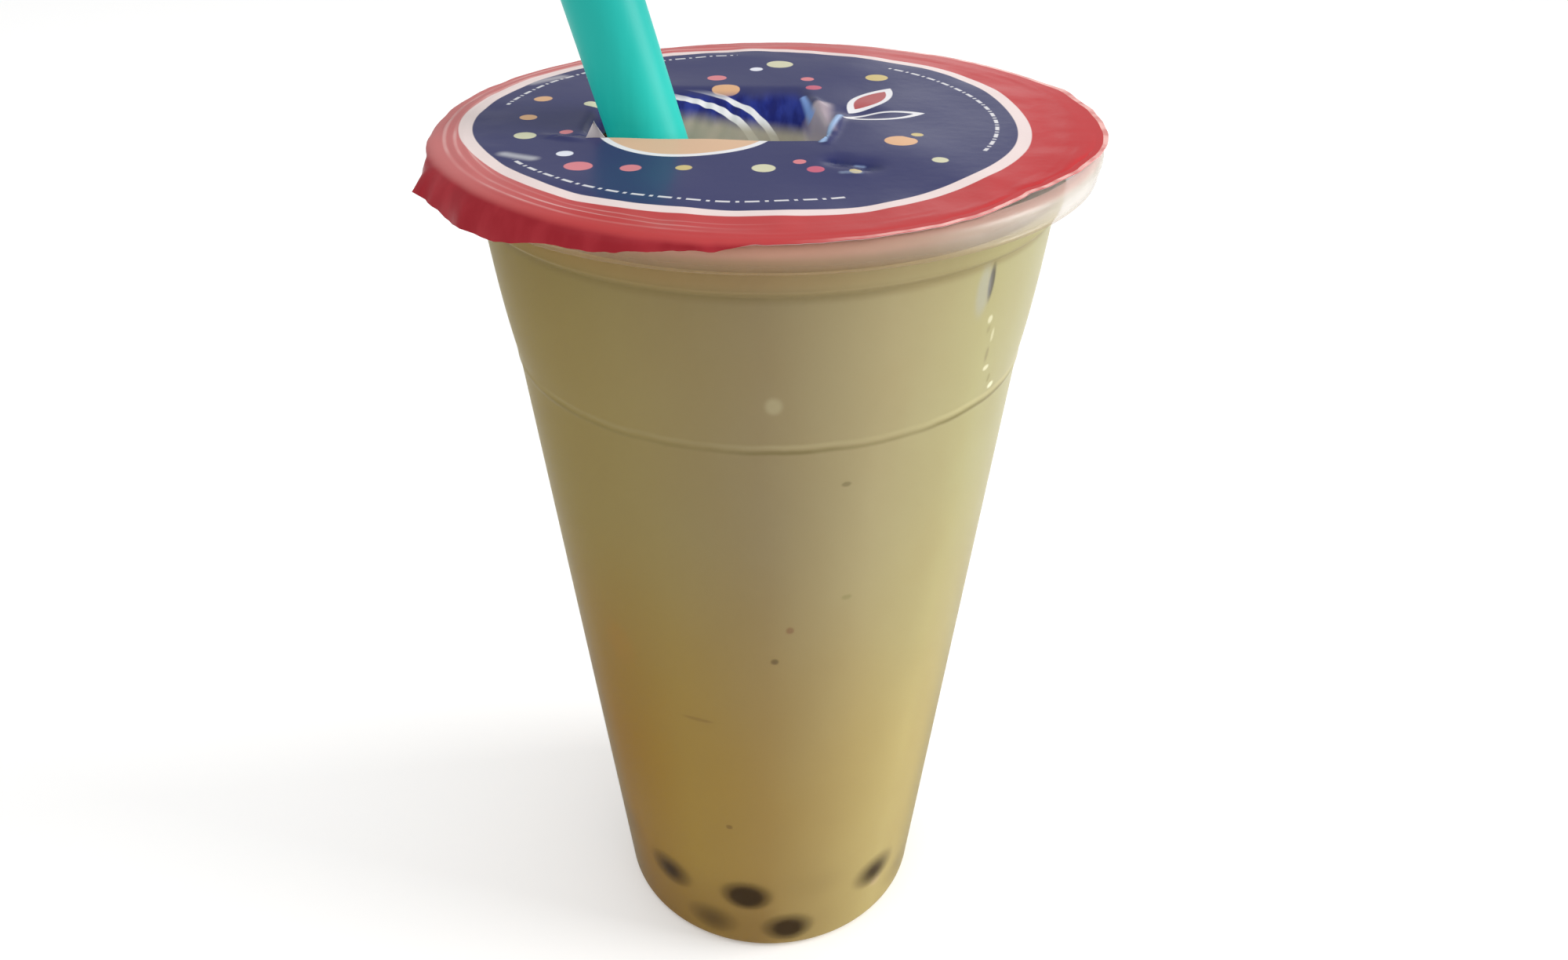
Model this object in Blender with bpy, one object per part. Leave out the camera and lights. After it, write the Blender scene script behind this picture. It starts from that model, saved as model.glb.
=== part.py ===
"""A cup of bubble tea under a torn sealing film, with a wide straw through the tear.

Metres, +Z up. The cup stands on z = 0 with its axis on Z, and the torn slit
in the film lies towards -Y of the dented flap.
"""

import math

import bmesh
import bpy
import numpy as np
from mathutils import Vector

# Whole cup
CUP_HEIGHT = 0.1500
RIM_RADIUS = 0.0475
TAPER_TOP_RADIUS = 0.0420      # the wall's outer taper, carried up to the rim
TAPER = 0.0889                 # radius gained for each metre of height
WALL = 0.0007
SEGMENTS = 64                  # sides of every turned piece of the cup

# Base of the cup
BASE_CORNER = 0.0025           # outer rounding between foot and wall
BASE_INNER_CORNER = 0.0018
FOOT_INNER_RADIUS = 0.0240     # flat foot ring, from here to the outer rounding
PANEL_RADIUS = 0.0228
PANEL_RISE = 0.0020            # the raised panel inside the foot ring

# Moulded ring on the wall, a fifth of the way down
RING_DROP = 0.0321
RING_PROUD = 0.00035
RING_HALF_HEIGHT = 0.0007
# Its profile: share of the half height, share of the full rise
RING_PROFILE = ((-1, 0), (-0.45, 0.85), (0, 1), (0.45, 0.85), (1, 0))

# Neck and rim
NECK_RADIUS = 0.0430
NECK_FOOT_DROP = 0.0092        # the stacking step where the neck meets the wall
NECK_STEP_HEIGHT = 0.0011
NECK_STEP_BEND = (0.0002, 0.0004)  # where the step turns up: short of the neck, above its foot
FLANGE_DROP = 0.0009           # underside of the rim's flange
RIM_ROUND = 0.0015             # rounding of the rim's outer edge
LIP_DROP = 0.0038              # how far the rim's turned-down lip hangs
LIP_TUCK = 0.0004              # how far the lip's foot leans in
LIP_ROUND_START = -120         # directions in degrees of the rounds at the lip's foot and the rim
RIM_ROUND_START = -10

GAP = 0.0003                   # kept between pieces that touch

# Tea, filled into the neck to just under the pressed-in flap
TEA_LEVEL = 0.1438

# Straw
STRAW_RADIUS = 0.0055
STRAW_WALL = 0.0005
STRAW_LENGTH = 0.2100
STRAW_FOOT_HEIGHT = 0.0160     # the lower end's height above the table
STRAW_AT_RIM = (-0.0179, -0.0015)
STRAW_LEAN = (-0.279, 0.050)   # sideways travel for each unit of height
STRAW_SEGMENTS = 40

# Sealing film
FILM_THICKNESS = 0.00035
FILM_DISC_RADIUS = 0.0460      # flat part, out to where the rim starts to round over
FILM_DISC_ROWS = 12
FILM_ROW_CROWDING = 1.35       # above 1, the rows crowd towards the tear
FILM_SKIRT_ROWS = 5
FILM_SHOULDER = 0.0484         # where a hanging skirt turns down
# Loose edge of the film: angle about the cup in degrees, radius, drop below the rim's top
FILM_EDGE = (
    (-172, 0.0477, 0.0002),
    (-163, 0.0489, 0.0010),
    (-155, 0.0510, 0.0028),
    (-150, 0.0500, 0.0039),
    (-143, 0.0494, 0.0042),
    (-134, 0.0491, 0.0043),
    (-121, 0.0489, 0.0027),
    (-110, 0.0486, 0.0017),
    (-100, 0.0482, 0.0011),
    (-91, 0.0477, 0.0003),
    (-75, 0.0475, 0.0000),
    (-58, 0.0467, 0.0000),
    (-44, 0.0449, 0.0000),
    (-28, 0.0462, 0.0000),
    (-12, 0.0475, 0.0000),
    (14, 0.0476, 0.0000),
    (20, 0.0488, 0.0000),
    (26, 0.0476, 0.0000),
)
FILM_EDGE_MARGIN = 0.0015      # the least width of the rows next to the edge
SKIRT_START_DROP = 0.0001      # an edge that drops less than this lies flat

# Tear in the film
TEAR_SPINE = ((-0.0170, -0.0048), (0.0078, -0.0066))
TEAR_SIDE_COLUMNS = 27         # the film's columns that leave each long side of the spine
TEAR_END_COLUMNS = 24          # and those that fan out round each of its ends
TEAR_CORNERS = (               # the slit's outline in plan, counter-clockwise
    (-0.0235, -0.0097),
    (0.0077, -0.0109),
    (0.0096, -0.0092),
    (0.0092, -0.0060),
    (0.0065, -0.0022),
    (-0.0120, -0.0020),
    (-0.0245, -0.0070),
)
STRAW_HOLE_CENTRE = (-0.0173, -0.0016)
STRAW_HOLE_RADII = (0.0067, 0.0060)

# Flap pressed in behind the tear
FLAP_DEPTH = 0.0062
FLAP_FRONT_Y = -0.0020         # where it is deepest
FLAP_BACK_Y = 0.0180           # where it leaves the flat film
FLAP_CREASE_X = 0.0075         # the sharp crease at its right, where y = 0
FLAP_CREASE_SLANT = -0.113
FLAP_CREASE_WIDTH = 0.0028
FLAP_LEFT_X = -0.0270
FLAP_LEFT_WIDTH = 0.0070
FLAP_LIP_WIDTH = 0.0050        # over which it rises again to the slit's front edge
FLAP_POWER = 1.2               # above 1, the flap starts gently

SHARP_ANGLE = math.radians(35)

COLOURS = {
    "cup": (0.80, 0.78, 0.70, 0.30),
    "tea": (0.46, 0.37, 0.16, 1.0),
    "film": (0.06, 0.06, 0.17, 1.0),
    "straw": (0.05, 0.52, 0.42, 1.0),
}
ROUGHNESS = {"cup": 0.12, "tea": 0.35, "film": 0.22, "straw": 0.25}


def clear_scene():
    for obj in list(bpy.data.objects):
        bpy.data.objects.remove(obj, do_unlink=True)


def make_material(name):
    material = bpy.data.materials.new(name)
    material.use_nodes = True
    shader = material.node_tree.nodes["Principled BSDF"]
    red, green, blue, alpha = COLOURS[name]
    shader.inputs["Base Color"].default_value = (red, green, blue, 1.0)
    shader.inputs["Alpha"].default_value = alpha
    shader.inputs["Roughness"].default_value = ROUGHNESS[name]
    shader.inputs["Metallic"].default_value = 0.0
    material.diffuse_color = COLOURS[name]
    return material


def finish_mesh(name, builder, material=None):
    """Turn a bmesh into a named object with smooth rounds."""
    mesh = bpy.data.meshes.new(name)
    builder.to_mesh(mesh)
    builder.free()
    mesh.shade_smooth()
    mesh.set_sharp_from_angle(angle=SHARP_ANGLE)
    if material:
        mesh.materials.append(material)
    obj = bpy.data.objects.new(name, mesh)
    bpy.context.collection.objects.link(obj)
    return obj


def turned(name, section, segments, material=None):
    """Turn a section of (radius, height) points, taken counter-clockwise, about Z.

    A section that starts and ends on the axis closes there; any other is a closed loop.
    """
    builder = bmesh.new()
    rings = []
    for radius, height in section:
        if radius == 0:
            rings.append([builder.verts.new((0, 0, height))])
            continue
        ring = []
        for k in range(segments):
            turn = 2 * math.pi * k / segments
            ring.append(builder.verts.new((radius * math.cos(turn), radius * math.sin(turn), height)))
        rings.append(ring)
    following = rings[1:]
    if len(rings[0]) > 1:
        following = following + rings[:1]
    for ring, after in zip(rings, following):
        for k in range(segments):
            corners = [ring[k % len(ring)], ring[(k + 1) % len(ring)]]
            corners += [after[(k + 1) % len(after)], after[k % len(after)]]
            builder.faces.new(list(dict.fromkeys(corners)))
    return finish_mesh(name, builder, material)


def arc(centre_radius, centre_height, radius, start, end, steps):
    """Points of an arc in the (radius, height) plane, angles in degrees from the outward direction."""
    points = []
    for k in range(steps + 1):
        turn = math.radians(start + (end - start) * k / steps)
        points.append((centre_radius + radius * math.cos(turn), centre_height + radius * math.sin(turn)))
    return points


def wall_radius(height):
    """Outer radius of the cup's taper at a height above the table."""
    return TAPER_TOP_RADIUS - TAPER * (CUP_HEIGHT - height)


def base_corner(corner, floor, inset):
    """Rounding between a flat base at the height floor and the taper moved in by inset."""
    lean = math.degrees(math.atan(TAPER))
    centre_height = floor + corner
    centre_radius = wall_radius(centre_height) - inset - corner / math.cos(math.radians(lean))
    return arc(centre_radius, centre_height, corner, -90, -lean, 5)


def stacking_step(inset):
    """The step from the taper out to the neck, moved in by inset."""
    foot = CUP_HEIGHT - NECK_FOOT_DROP
    tuck, rise = NECK_STEP_BEND
    step = [(wall_radius(foot), foot), (NECK_RADIUS - tuck, foot + rise)]
    step.append((NECK_RADIUS, foot + NECK_STEP_HEIGHT))
    return [(radius - inset, height) for radius, height in step]


def cup_section():
    """Outer side from the base's centre up to the rim, then the inner side back down."""
    ring = CUP_HEIGHT - RING_DROP
    lip_foot = CUP_HEIGHT - LIP_DROP
    lip_inner = RIM_RADIUS - WALL - LIP_TUCK
    flange = CUP_HEIGHT - FLANGE_DROP
    neck_inner = NECK_RADIUS - WALL

    section = [(0, PANEL_RISE), (PANEL_RADIUS, PANEL_RISE), (FOOT_INNER_RADIUS, 0)]
    section += base_corner(BASE_CORNER, 0, 0)
    for offset, share in RING_PROFILE:
        height = ring + offset * RING_HALF_HEIGHT
        section.append((wall_radius(height) + share * RING_PROUD, height))
    section += stacking_step(0)
    section.append((NECK_RADIUS + WALL / 4, flange - 2 * WALL))
    section.append((NECK_RADIUS + WALL, flange))
    section.append((lip_inner - WALL, flange))
    section.append((lip_inner, flange - WALL))
    section.append((lip_inner, lip_foot))
    lip_middle = RIM_RADIUS - LIP_TUCK - WALL / 2
    section += arc(lip_middle, lip_foot, WALL / 2, LIP_ROUND_START, RIM_ROUND_START, 3)
    section += arc(RIM_RADIUS - RIM_ROUND, CUP_HEIGHT - RIM_ROUND, RIM_ROUND, RIM_ROUND_START, 90, 6)
    section += arc(neck_inner + WALL, CUP_HEIGHT - WALL, WALL, 90, 180, 3)
    section += stacking_step(WALL)[::-1]
    inner = base_corner(BASE_INNER_CORNER, PANEL_RISE + WALL, WALL)
    section += inner[::-1]
    section.append((0, PANEL_RISE + WALL))
    return section


def make_cup():
    return turned("cup", cup_section(), SEGMENTS, make_material("cup"))


def stand_on_straw_axis(obj):
    """Place a piece turned about Z on the straw's leaning axis, its z = 0 at the straw's foot."""
    drop = CUP_HEIGHT - STRAW_FOOT_HEIGHT
    lean = Vector((STRAW_LEAN[0], STRAW_LEAN[1], 1.0))
    foot = Vector((STRAW_AT_RIM[0], STRAW_AT_RIM[1], CUP_HEIGHT)) - lean * drop
    obj.location = foot
    obj.rotation_mode = "QUATERNION"
    obj.rotation_quaternion = lean.to_track_quat("Z", "Y")


def tube_section(inner, outer, foot, top):
    """Counter-clockwise section of a plain tube."""
    return [(inner, foot), (outer, foot), (outer, top), (inner, top)]


def make_straw():
    section = tube_section(STRAW_RADIUS - STRAW_WALL, STRAW_RADIUS, 0, STRAW_LENGTH)
    straw = turned("straw", section, STRAW_SEGMENTS, make_material("straw"))
    stand_on_straw_axis(straw)
    return straw


def make_tea():
    """The drink up to its level, with a narrow ring cut round the straw's wall.

    The drink inside the straw stays joined to the rest below the straw's foot.
    """
    inset = WALL + GAP
    floor = PANEL_RISE + WALL + GAP
    section = [(0, floor)]
    section += base_corner(BASE_INNER_CORNER, floor, inset)
    section += stacking_step(inset)
    section.append((NECK_RADIUS - inset, TEA_LEVEL))
    section.append((0, TEA_LEVEL))
    tea = turned("tea", section, SEGMENTS, make_material("tea"))

    inner = STRAW_RADIUS - STRAW_WALL - GAP
    outer = STRAW_RADIUS + GAP
    cutter = turned("straw_ring_cutter", tube_section(inner, outer, -GAP, STRAW_LENGTH), STRAW_SEGMENTS)
    stand_on_straw_axis(cutter)
    cutter.hide_render = True
    cutter.display_type = "WIRE"
    cut = tea.modifiers.new("Straw", "BOOLEAN")
    cut.operation = "DIFFERENCE"
    cut.solver = "EXACT"
    cut.object = cutter
    return tea


def film_columns():
    """Start points and directions of the film's columns in plan, counter-clockwise.

    They leave the long sides of the tear's spine square to it and fan out round its ends.
    """
    start, end = np.array(TEAR_SPINE)
    along = (end - start) / np.linalg.norm(end - start)
    side = np.array([-along[1], along[0]])
    steps = (np.arange(TEAR_SIDE_COLUMNS) / TEAR_SIDE_COLUMNS)[:, None]
    turns = np.pi * np.arange(TEAR_END_COLUMNS)[:, None] / TEAR_END_COLUMNS
    fan = np.sin(turns) * along - np.cos(turns) * side
    ones = np.ones_like(steps)
    origins = [start + steps * (end - start), np.ones_like(turns) * end]
    origins += [end + steps * (start - end), np.ones_like(turns) * start]
    directions = [-ones * side, fan, ones * side, -fan]
    return np.concatenate(origins), np.concatenate(directions)


def leave_polygon(origins, directions, corners):
    """Distance from points inside a convex polygon to its outline, along their directions."""
    points = np.array(corners)
    sides = np.roll(points, -1, axis=0) - points
    outward = np.stack([sides[:, 1], -sides[:, 0]], axis=1)
    reach = (outward * points).sum(axis=1) - origins @ outward.T
    rate = directions @ outward.T
    distance = np.full(rate.shape, np.inf)
    np.divide(reach, rate, out=distance, where=rate > 0)
    return distance.min(axis=1)


def cross_ellipse(origins, directions, centre, radii):
    """Distances at which rays enter and leave an ellipse; never for those that miss it."""
    start = (origins - np.array(centre)) / radii
    along = directions / np.array(radii)
    a = (along ** 2).sum(axis=1)
    b = (along * start).sum(axis=1)
    c = (start ** 2).sum(axis=1) - 1
    inside = b * b - a * c
    root = np.sqrt(np.maximum(inside, 0))
    enter = np.where(inside > 0, (-b - root) / a, np.inf)
    leave = np.where(inside > 0, (-b + root) / a, -np.inf)
    return enter, leave


def tear_reach(origins, directions):
    """How far each column's start lies from the edge of the slit joined with the straw's hole."""
    slit = leave_polygon(origins, directions, TEAR_CORNERS)
    enter, leave = cross_ellipse(origins, directions, STRAW_HOLE_CENTRE, STRAW_HOLE_RADII)
    return np.where(enter < slit, np.maximum(slit, leave), slit)


def leave_circle(origins, directions, radius):
    """Distance from points inside a circle about the cup's axis to it, along their directions."""
    b = (origins * directions).sum(axis=1)
    return -b + np.sqrt(b * b - (origins ** 2).sum(axis=1) + radius * radius)


def ramp(value):
    """Smooth rise from 0 to 1."""
    t = np.clip(value, 0, 1)
    return t * t * (3 - 2 * t)


def flap_drop(x, y):
    """How far the film is pressed below its flat level.

    It slopes down from the back line to the tear, is folded at the crease on its
    right, fades out left of the straw and rises again to the slit's front edge.
    """
    slope = np.clip((FLAP_BACK_Y - y) / (FLAP_BACK_Y - FLAP_FRONT_Y), 0, 1) ** FLAP_POWER
    crease = FLAP_CREASE_X + FLAP_CREASE_SLANT * y
    right = ramp((crease - x) / FLAP_CREASE_WIDTH)
    left = ramp((x - FLAP_LEFT_X) / FLAP_LEFT_WIDTH)
    front = ramp((y - TEAR_CORNERS[0][1]) / FLAP_LIP_WIDTH)
    return FLAP_DEPTH * slope * right * left * front


def film_edge(turns):
    """Radius and drop of the film's loose edge, between the listed points."""
    degrees = np.degrees(turns)
    angles, radii, drops = np.array(FILM_EDGE).T
    radius = np.interp(degrees, angles, radii, period=360)
    drop = np.interp(degrees, angles, drops, period=360)
    return radius, drop


def film_surface():
    """Lower face of the film as a grid of points: rows from the tear out to the loose edge."""
    level = CUP_HEIGHT + GAP
    origins, directions = film_columns()
    inner = origins + directions * tear_reach(origins, directions)[:, None]
    outer = origins + directions * leave_circle(origins, directions, FILM_DISC_RADIUS)[:, None]
    turns = np.arctan2(outer[:, 1], outer[:, 0])
    radius, drop = film_edge(turns)
    flat_radius = np.minimum(FILM_DISC_RADIUS, radius - FILM_EDGE_MARGIN)
    outer *= (flat_radius / FILM_DISC_RADIUS)[:, None]
    rows = []
    for t in np.linspace(0, 1, FILM_DISC_ROWS) ** FILM_ROW_CROWDING:
        plan = inner + t * (outer - inner)
        height = level - flap_drop(plan[:, 0], plan[:, 1])
        rows.append(np.column_stack([plan, height]))

    shoulder = np.where(drop > SKIRT_START_DROP, FILM_SHOULDER, (flat_radius + radius) / 2)
    for t in np.linspace(0, 1, FILM_SKIRT_ROWS + 1)[1:]:
        reach = (1 - t) ** 2 * flat_radius + 2 * t * (1 - t) * shoulder + t * t * radius
        height = level - t * t * drop
        rows.append(np.column_stack([reach * np.cos(turns), reach * np.sin(turns), height]))
    return np.array(rows)


def make_film():
    grid = film_surface()
    builder = bmesh.new()
    rows = [[builder.verts.new(point) for point in row] for row in grid.tolist()]
    for row, after in zip(rows, rows[1:]):
        for k in range(len(row)):
            beside = (k + 1) % len(row)
            builder.faces.new((row[k], after[k], after[beside], row[beside]))
    film = finish_mesh("film", builder, make_material("film"))
    thickness = film.modifiers.new("Thickness", "SOLIDIFY")
    thickness.thickness = FILM_THICKNESS
    thickness.offset = 1
    return film


clear_scene()
make_cup()
make_straw()
make_tea()
make_film()
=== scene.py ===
import math

import bmesh
import bpy
import numpy as np
from mathutils import Matrix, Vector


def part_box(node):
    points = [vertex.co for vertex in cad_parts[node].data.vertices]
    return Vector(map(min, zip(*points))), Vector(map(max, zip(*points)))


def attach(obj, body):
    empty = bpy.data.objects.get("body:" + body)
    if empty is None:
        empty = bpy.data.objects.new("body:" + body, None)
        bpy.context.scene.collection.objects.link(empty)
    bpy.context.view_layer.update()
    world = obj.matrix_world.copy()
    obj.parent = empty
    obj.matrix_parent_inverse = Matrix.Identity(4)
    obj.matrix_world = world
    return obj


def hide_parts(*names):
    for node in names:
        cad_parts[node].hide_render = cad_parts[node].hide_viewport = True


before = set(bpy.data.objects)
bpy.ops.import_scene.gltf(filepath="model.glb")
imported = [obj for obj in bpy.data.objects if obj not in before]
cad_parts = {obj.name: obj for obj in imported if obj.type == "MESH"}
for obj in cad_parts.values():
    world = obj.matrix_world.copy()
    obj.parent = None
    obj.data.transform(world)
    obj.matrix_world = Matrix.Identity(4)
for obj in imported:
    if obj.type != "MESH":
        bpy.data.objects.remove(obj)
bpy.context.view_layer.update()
mm = 0.001
inPlan = (1000, 1000, 0)        # turns a place in metres to one in the plan, in mm
keyAzimuth = math.radians(-4)   # where the main light comes from, round the cup
print("frame loaded:", sorted(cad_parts))

# Sizes that every piece shares, read from the frame
cupLow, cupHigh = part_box("cup")
teaLow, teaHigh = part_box("tea")
cupHeight = cupHigh.z
rimRadius = (cupHigh.x - cupLow.x) / 2
teaLevel = teaHigh.z


# Mesh tools

def addObject(name, data):
    added = bpy.data.objects.new(name, data)
    bpy.context.scene.collection.objects.link(added)
    return added


def putMesh(name, points, faces, materials, smoothAngle=40, group=None, faceMaterials=None):
    # Points and quads straight into a new mesh; points that coincide, as at a pole, are merged
    mesh = bpy.data.meshes.new(name)
    mesh.vertices.add(len(points))
    mesh.vertices.foreach_set("co", np.asarray(points, np.float32).ravel())
    mesh.loops.add(faces.size)
    mesh.loops.foreach_set("vertex_index", faces.astype(np.int32).ravel())
    mesh.polygons.add(len(faces))
    mesh.polygons.foreach_set("loop_start", np.arange(0, faces.size, faces.shape[1], dtype=np.int32))
    mesh.polygons.foreach_set("loop_total", np.full(len(faces), faces.shape[1], np.int32))
    if group is not None:
        attribute = mesh.attributes.new(group[0], "FLOAT", "POINT")
        attribute.data.foreach_set("value", np.asarray(group[1], np.float32).ravel())
    for material in materials if isinstance(materials, (list, tuple)) else [materials]:
        mesh.materials.append(material)
    if faceMaterials is not None:
        mesh.polygons.foreach_set("material_index", np.asarray(faceMaterials, np.int32))
    mesh.update(calc_edges=True)
    merged = bmesh.new()
    merged.from_mesh(mesh)
    bmesh.ops.remove_doubles(merged, verts=merged.verts, dist=1e-7)
    merged.to_mesh(mesh)
    merged.free()
    mesh.validate()
    mesh.shade_smooth()
    mesh.set_sharp_from_angle(angle=math.radians(smoothAngle))
    return addObject(name, mesh)


def gridFaces(rows, columns, loopRows=False, loopColumns=True, flip=False):
    # Quads between the neighbours of a grid; a looped side joins its last line to its first
    index = np.arange(rows * columns).reshape(rows, columns)
    if loopRows:
        index = np.vstack([index, index[:1]])
    if loopColumns:
        index = np.hstack([index, index[:, :1]])
    corners = [index[:-1, :-1], index[:-1, 1:], index[1:, 1:], index[1:, :-1]]
    faces = np.stack(corners[::-1] if flip else corners, axis=-1)
    return faces.reshape(-1, 4)


def revolve(section, sides):
    # Each (radius, height) of the section goes round Z: x = radius cos, y = radius sin
    turns = 2 * np.pi * np.arange(sides) / sides
    radius, height = section[:, :1], section[:, 1:]
    return np.stack([radius * np.cos(turns), radius * np.sin(turns), height + 0 * turns], axis=-1)


def arcPoints(centreRadius, centreHeight, radius, start, end, steps):
    # Points of an arc in the (radius, height) plane, angles in degrees from outwards
    turns = np.radians(np.linspace(start, end, steps + 1))
    return np.stack([centreRadius + radius * np.cos(turns), centreHeight + radius * np.sin(turns)], axis=1)


def smoothStep(value):
    # 3t^2 - 2t^3 with t held between 0 and 1
    t = np.clip(value, 0, 1)
    return t * t * (3 - 2 * t)


def waves(x, y, seed, count=10, longest=1.0, shortest=0.2):
    # Sum of plane sine waves of random direction and phase, each as tall as it is long, scaled to about -1..1
    draw = np.random.default_rng(seed)
    lengths = np.geomspace(longest, shortest, count)
    headings = draw.uniform(0, 2 * np.pi, count)
    phases = draw.uniform(0, 2 * np.pi, count)
    total = np.zeros_like(x, dtype=float)
    for length, heading, phase in zip(lengths, headings, phases):
        along = x * np.cos(heading) + y * np.sin(heading)
        total += length / longest * np.sin(2 * np.pi * along / length + phase)
    return total / np.sqrt((lengths / longest) ** 2 @ np.ones(count))


# Node tools

def newMaterial(name):
    material = bpy.data.materials.new(name)
    material.use_nodes = True
    return material, material.node_tree, material.node_tree.nodes["Principled BSDF"]


def fillInput(tree, socket, value):
    # A socket is linked, a plain value is set
    if isinstance(value, bpy.types.NodeSocket):
        tree.links.new(value, socket)
    else:
        socket.default_value = value


def addNode(tree, kind, inputs=None, **settings):
    node = tree.nodes.new(kind)
    for key, value in settings.items():
        setattr(node, key, value)
    for key, value in (inputs or {}).items():
        fillInput(tree, node.inputs[key], value)
    return node


def maths(tree, operation, first, second=0.0, third=0.0):
    node = addNode(tree, "ShaderNodeMath", {0: first, 1: second, 2: third}, operation=operation)
    return node.outputs[0]


def product(tree, value, *factors):
    for factor in factors:
        value = maths(tree, "MULTIPLY", value, factor)
    return value


def apart(tree, first, second):
    # How far two values are from each other
    return maths(tree, "ABSOLUTE", maths(tree, "SUBTRACT", first, second))


def vectorMaths(tree, operation, first, second=(0, 0, 0), third=(0, 0, 0)):
    # A vector, or for a dot product, a length or a distance its plain value
    node = addNode(tree, "ShaderNodeVectorMath", {0: first, 1: second, 2: third}, operation=operation)
    return node.outputs["Value" if operation in ("DOT_PRODUCT", "LENGTH", "DISTANCE") else "Vector"]


def axes(tree, vector):
    return addNode(tree, "ShaderNodeSeparateXYZ", {0: vector}).outputs


def mixColour(tree, factor, first, second):
    node = addNode(tree, "ShaderNodeMix", {0: factor, 6: first, 7: second}, data_type="RGBA")
    return node.outputs[2]


def between(tree, value, low, high, start=0.0, end=1.0):
    # Smooth change from start to end as value goes from low to high
    inputs = {"Value": value, "From Min": low, "From Max": high, "To Min": start, "To Max": end}
    return addNode(tree, "ShaderNodeMapRange", inputs, interpolation_type="SMOOTHSTEP").outputs["Result"]


def noise(tree, vector, scale, detail=3.0, roughness=0.5):
    inputs = {"Vector": vector, "Scale": scale, "Detail": detail, "Roughness": roughness}
    return addNode(tree, "ShaderNodeTexNoise", inputs).outputs["Fac"]


def toneRamp(tree, value, stops, interpolation="LINEAR"):
    # Colours along a value from 0 to 1, each stop a (spot, tone)
    node = addNode(tree, "ShaderNodeValToRGB", {"Fac": value})
    node.color_ramp.interpolation = interpolation
    for number, (spot, tone) in enumerate(stops):
        stop = node.color_ramp.elements[number] if number < 2 else node.color_ramp.elements.new(spot)
        stop.position = spot
        stop.color = (*tone, 1)
    return node.outputs["Color"]


def objectPlace(tree, scale=(1, 1, 1), shift=(0, 0, 0)):
    place = addNode(tree, "ShaderNodeTexCoord").outputs["Object"]
    return addNode(tree, "ShaderNodeMapping", {"Vector": place, "Scale": scale, "Location": shift}).outputs[0]


def objectNoise(tree, ridgeGlints, scale, detail=3.0, roughness=0.5, shift=(0, 0, 0)):
    return noise(tree, objectPlace(tree, ridgeGlints, shift), scale, detail, roughness)


def towardsKey(tree):
    # Which way an upright round wall faces: 1 towards the key light, 0 away from it, which is
    # (1 + cosine of the turn between the two) / 2
    flat = vectorMaths(tree, "NORMALIZE", objectPlace(tree, (1, 1, 0)))
    facing = vectorMaths(tree, "DOT_PRODUCT", flat, (math.cos(keyAzimuth), math.sin(keyAzimuth), 0))
    return maths(tree, "MULTIPLY_ADD", facing, 0.5, 0.5)


def addBump(tree, shader, height, distance, strength=1.0):
    inputs = {"Height": height, "Distance": distance, "Strength": strength}
    tree.links.new(addNode(tree, "ShaderNodeBump", inputs).outputs[0], shader.inputs["Normal"])


def setShader(tree, shader, **values):
    for key, value in values.items():
        fillInput(tree, shader.inputs[key.replace("_", " ")], value)


# Camera, as the photograph was taken

photo = {
    "width": 2000,
    "focalPixels": 1518.0,
    "place": (2.56 * mm, -172.5 * mm, cupHeight + 49.2 * mm),
    "lookDown": 0.5712,
    "roll": 0.0055,
}


def makeCamera():
    data = bpy.data.cameras.new("camera")
    data.sensor_fit = "HORIZONTAL"
    data.sensor_width = 36
    data.lens = photo["focalPixels"] / photo["width"] * data.sensor_width
    data.clip_start = 0.01
    camera = addObject("camera", data)
    tilt = Matrix.Rotation(math.pi / 2 - photo["lookDown"], 4, "X")
    camera.matrix_world = Matrix.Translation(photo["place"]) @ tilt @ Matrix.Rotation(photo["roll"], 4, "Z")
    bpy.context.scene.camera = camera


makeCamera()


# Cup

cup = {
    "wall": 0.45 * mm,
    "rimWall": 0.7 * mm,
    "taperTop": 42.0 * mm,      # outer radius of the taper, carried up to the rim
    "taper": 0.0889,            # radius gained with height
    "baseCorner": 2.5 * mm,
    "innerCorner": 1.8 * mm,
    "footInner": 24.0 * mm,
    "panelRadius": 22.8 * mm,
    "panelRise": 2.0 * mm,
    "flare": 0.8 * mm,          # how much more the wall opens between the moulded ring and the neck
    "ringDrop": 32.1 * mm,      # the moulded ring, below the rim
    "ringProud": 0.16 * mm,
    "ringHalf": 1.0 * mm,
    "neckRadius": 43.0 * mm,
    "neckDrop": 9.2 * mm,
    "stepHeight": 1.3 * mm,
    "flangeDrop": 0.9 * mm,
    "rimRound": 1.5 * mm,
    "lipDrop": 3.8 * mm,
    "lipTuck": 0.4 * mm,
    "sides": 256,
    "clearTone": (0.98, 0.97, 0.95, 1),
    # The rim's tones: painted shade away from the key light, above and below; painted light towards it; a
    # painted reflection of the film's red near the film; at its foot
    "shadedUpper": (0.86, 0.46, 0.33, 1),
    "shadedLower": (0.70, 0.45, 0.26, 1),
    "pale": (0.50, 0.42, 0.33, 1),
    "palest": (0.60, 0.54, 0.46, 1),
    "filmRedReflection": (0.80, 0.40, 0.36, 1),
    "footTone": (0.46, 0.32, 0.14, 1),
}


def wallRadius(height):
    # A straight taper, and above the moulded ring a bulge: flare (1 - (1 - share)^3)
    drop = cupHeight - height
    share = np.clip((cup["ringDrop"] - drop) / (cup["ringDrop"] - cup["neckDrop"]), 0, 1)
    return cup["taperTop"] - cup["taper"] * drop + cup["flare"] * (1 - (1 - share) ** 3)


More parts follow.
